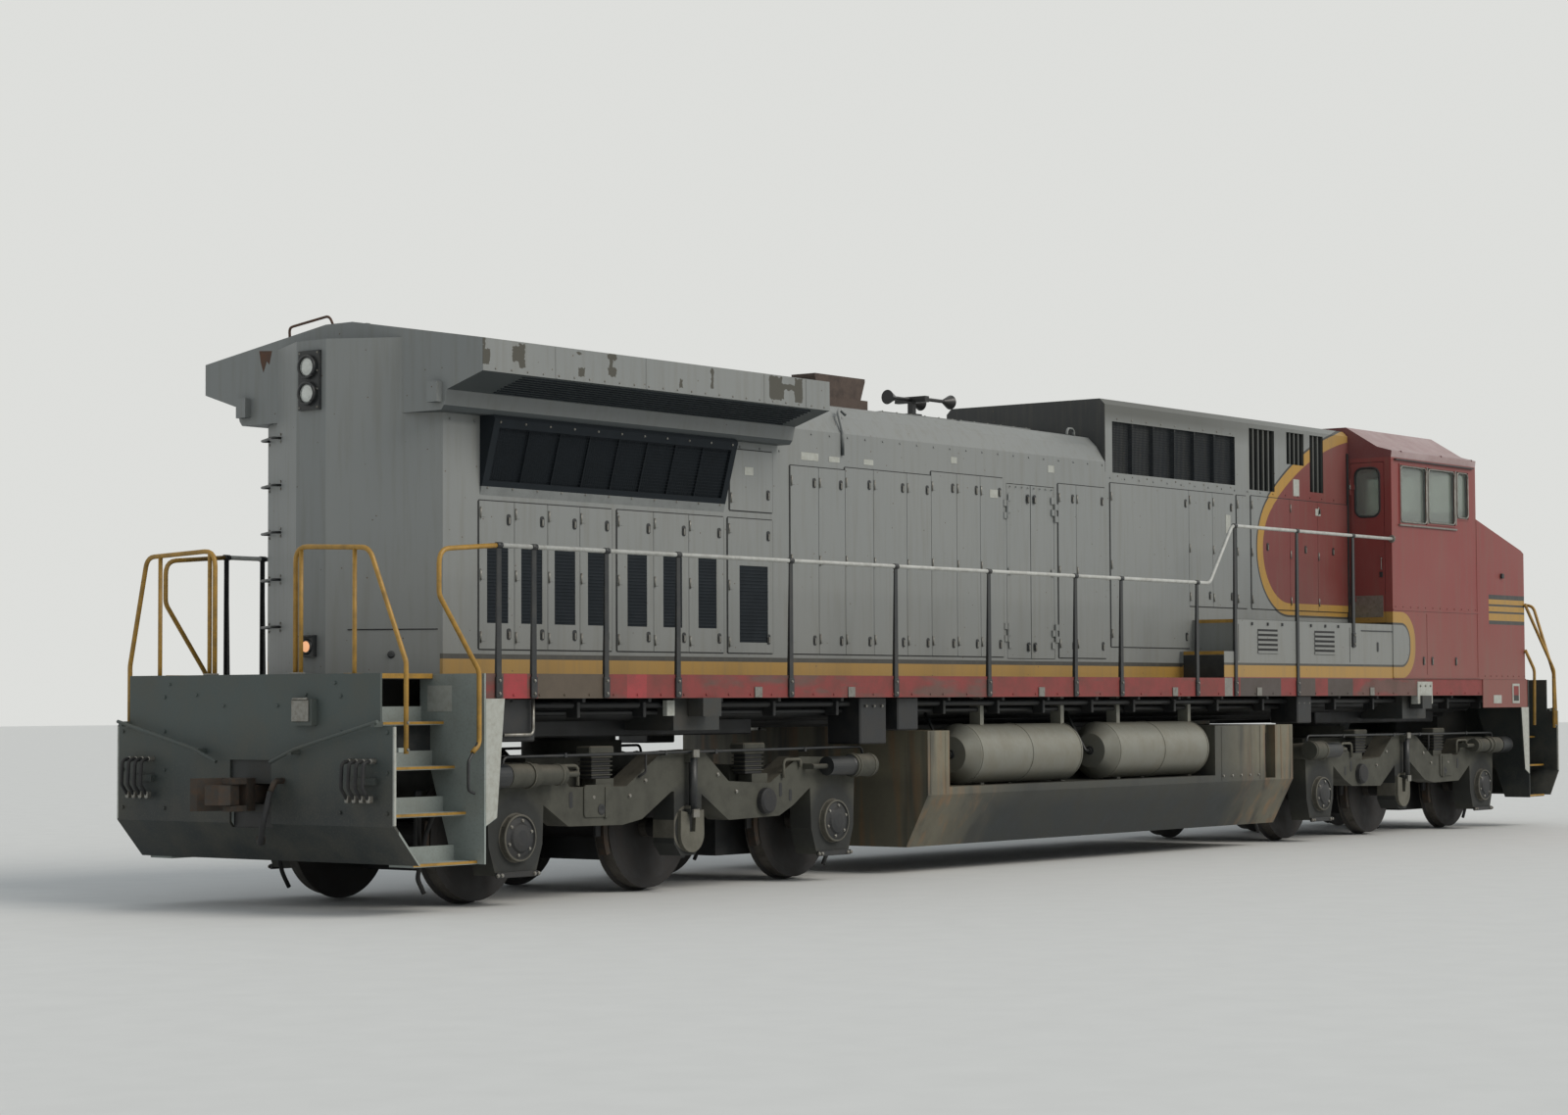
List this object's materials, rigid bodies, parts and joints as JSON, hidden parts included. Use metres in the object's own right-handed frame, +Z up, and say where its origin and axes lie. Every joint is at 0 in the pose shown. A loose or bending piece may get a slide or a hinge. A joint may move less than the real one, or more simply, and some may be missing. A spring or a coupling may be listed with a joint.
{
  "type": "diesel-electric freight locomotive",
  "caption": "Six-axle wide-nose diesel locomotive with hollow cab, flared radiator wings, swivelling bogies, rolling wheelsets, swinging couplers and opening doors.",
  "frame": {"origin": "on the floor under the wheel flanges, midway between the coupler faces, on the centreline", "axes": "+X forward to the cab end, +Y to the driver's left, +Z up"},
  "size_m": [21.54, 3.1366, 4.7378],
  "materials": {
    "hood_paint": "faded satin",
    "cab_paint": "faded satin",
    "roof_paint": "chalky",
    "sill_paint": "dusty satin",
    "step_paint": "worn satin",
    "rail_paint": "worn gloss",
    "yellow_paint": "worn gloss",
    "tank_paint": "dusty, fuel stained",
    "reservoir_paint": "dusty satin",
    "bogie_steel": "dust covered casting",
    "wheel_steel": "rusty web, bright tread",
    "coupler_iron": "raw casting",
    "motor_steel": "greasy dust",
    "engine_enamel": "oily enamel",
    "screen_mesh": "dark wire mesh",
    "stack_steel": "sooty, heat browned",
    "horn_black": "gloss",
    "lamp_lens": "clear lens",
    "window_glass": "tinted",
    "seat_cloth": "woven",
    "desk_paint": "textured"
  },
  "bodies": {
    "locomotive": {"underframe": "sill_paint", "rear_pilot": "step_paint", "front_pilot": "step_paint", "rear_steps": "step_paint", "front_steps": "step_paint", "fuel_tank": "tank_paint", "air_reservoirs": "reservoir_paint", "radiator_hood": "hood_paint", "radiator_wings": "hood_paint", "radiator_screens": "screen_mesh", "engine_hood": "hood_paint", "hood_doors": "hood_paint", "engine_block": "engine_enamel", "exhaust_stack": "stack_steel", "horn": "horn_black", "grid_housing": "hood_paint", "walkway_boxes": "hood_paint", "cab_shell": "cab_paint", "cab_glass": "window_glass", "cab_roof": "roof_paint", "nose": "cab_paint", "cab_seats": "seat_cloth", "control_stand": "desk_paint", "handrail_right": "rail_paint", "handrail_left": "rail_paint", "end_rails_rear": "yellow_paint", "end_rails_front": "yellow_paint", "rear_lamps": "lamp_lens", "front_lamps": "lamp_lens", "grab_irons": "yellow_paint"},
    "bogie_rear": {"bogie_frame_rear": "bogie_steel", "motors_rear": "motor_steel", "brake_gear_rear": "bogie_steel"},
    "bogie_front": {"bogie_frame_front": "bogie_steel", "motors_front": "motor_steel", "brake_gear_front": "bogie_steel"},
    "coupler_rear": {"coupler_rear": "coupler_iron"},
    "coupler_front": {"coupler_front": "coupler_iron"},
    "knuckle_rear": {"knuckle_rear": "coupler_iron"},
    "knuckle_front": {"knuckle_front": "coupler_iron"},
    "cab_door_right": {"cab_door_right": "cab_paint"},
    "cab_door_left": {"cab_door_left": "cab_paint"},
    "nose_door": {"nose_door": "cab_paint"},
    "wheelset_1": {"wheelset_1": "wheel_steel"},
    "wheelset_2": {"wheelset_2": "wheel_steel"},
    "wheelset_3": {"wheelset_3": "wheel_steel"},
    "wheelset_4": {"wheelset_4": "wheel_steel"},
    "wheelset_5": {"wheelset_5": "wheel_steel"},
    "wheelset_6": {"wheelset_6": "wheel_steel"},
    "engine_door_right_rear": {"engine_door_right_rear": "hood_paint"},
    "engine_door_right_front": {"engine_door_right_front": "hood_paint"},
    "engine_door_left_rear": {"engine_door_left_rear": "hood_paint"},
    "engine_door_left_front": {"engine_door_left_front": "hood_paint"}
  },
  "joints": [
    {"name": "bogie_rear_swivel", "type": "hinge", "parent": "locomotive", "child": "bogie_rear", "pos_m": [-6.615, 0, 1.208], "axis": [0, 0, 1], "range_deg": [-5, 5]},
    {"name": "bogie_front_swivel", "type": "hinge", "parent": "locomotive", "child": "bogie_front", "pos_m": [6.615, 0, 1.208], "axis": [0, 0, 1], "range_deg": [-5, 5]},
    {"name": "wheelset_1_roll", "type": "hinge", "parent": "bogie_rear", "child": "wheelset_1", "pos_m": [-8.685, 0, 0.536], "axis": [0, 1, 0], "continuous": true},
    {"name": "wheelset_2_roll", "type": "hinge", "parent": "bogie_rear", "child": "wheelset_2", "pos_m": [-6.563, 0, 0.536], "axis": [0, 1, 0], "continuous": true},
    {"name": "wheelset_3_roll", "type": "hinge", "parent": "bogie_rear", "child": "wheelset_3", "pos_m": [-4.545, 0, 0.536], "axis": [0, 1, 0], "continuous": true},
    {"name": "wheelset_4_roll", "type": "hinge", "parent": "bogie_front", "child": "wheelset_4", "pos_m": [4.545, 0, 0.536], "axis": [0, 1, 0], "continuous": true},
    {"name": "wheelset_5_roll", "type": "hinge", "parent": "bogie_front", "child": "wheelset_5", "pos_m": [6.563, 0, 0.536], "axis": [0, 1, 0], "continuous": true},
    {"name": "wheelset_6_roll", "type": "hinge", "parent": "bogie_front", "child": "wheelset_6", "pos_m": [8.685, 0, 0.536], "axis": [0, 1, 0], "continuous": true},
    {"name": "coupler_rear_swing", "type": "hinge", "parent": "locomotive", "child": "coupler_rear", "pos_m": [-9.7, 0, 0.904], "axis": [0, 0, 1], "range_deg": [-7, 7]},
    {"name": "knuckle_rear_open", "type": "hinge", "parent": "coupler_rear", "child": "knuckle_rear", "pos_m": [-10.605, -0.095, 0.904], "axis": [0, 0, 1], "range_deg": [0, 40]},
    {"name": "coupler_front_swing", "type": "hinge", "parent": "locomotive", "child": "coupler_front", "pos_m": [9.7, 0, 0.904], "axis": [0, 0, 1], "range_deg": [-7, 7]},
    {"name": "knuckle_front_open", "type": "hinge", "parent": "coupler_front", "child": "knuckle_front", "pos_m": [10.605, 0.095, 0.904], "axis": [0, 0, 1], "range_deg": [0, 40]},
    {"name": "cab_door_right_hinge", "type": "hinge", "parent": "locomotive", "child": "cab_door_right", "pos_m": [5.817, -1.01, 2.458], "axis": [0, 0, -1], "range_deg": [0, 90]},
    {"name": "cab_door_left_hinge", "type": "hinge", "parent": "locomotive", "child": "cab_door_left", "pos_m": [5.817, 1.01, 2.458], "axis": [0, 0, 1], "range_deg": [0, 90]},
    {"name": "nose_door_hinge", "type": "hinge", "parent": "locomotive", "child": "nose_door", "pos_m": [9.74665, 0.19, 1.88888], "axis": [0.0899, 0, -0.9959], "range_deg": [0, 95]},
    {"name": "engine_door_right_rear_hinge", "type": "hinge", "parent": "locomotive", "child": "engine_door_right_rear", "pos_m": [-1.322, -0.997, 1.998], "axis": [0, 0, -1], "range_deg": [0, 105]},
    {"name": "engine_door_right_front_hinge", "type": "hinge", "parent": "locomotive", "child": "engine_door_right_front", "pos_m": [-0.466, -0.997, 1.998], "axis": [0, 0, 1], "range_deg": [0, 105]},
    {"name": "engine_door_left_rear_hinge", "type": "hinge", "parent": "locomotive", "child": "engine_door_left_rear", "pos_m": [-1.322, 0.997, 1.998], "axis": [0, 0, 1], "range_deg": [0, 105]},
    {"name": "engine_door_left_front_hinge", "type": "hinge", "parent": "locomotive", "child": "engine_door_left_front", "pos_m": [-0.466, 0.997, 1.998], "axis": [0, 0, -1], "range_deg": [0, 105]}
  ]
}
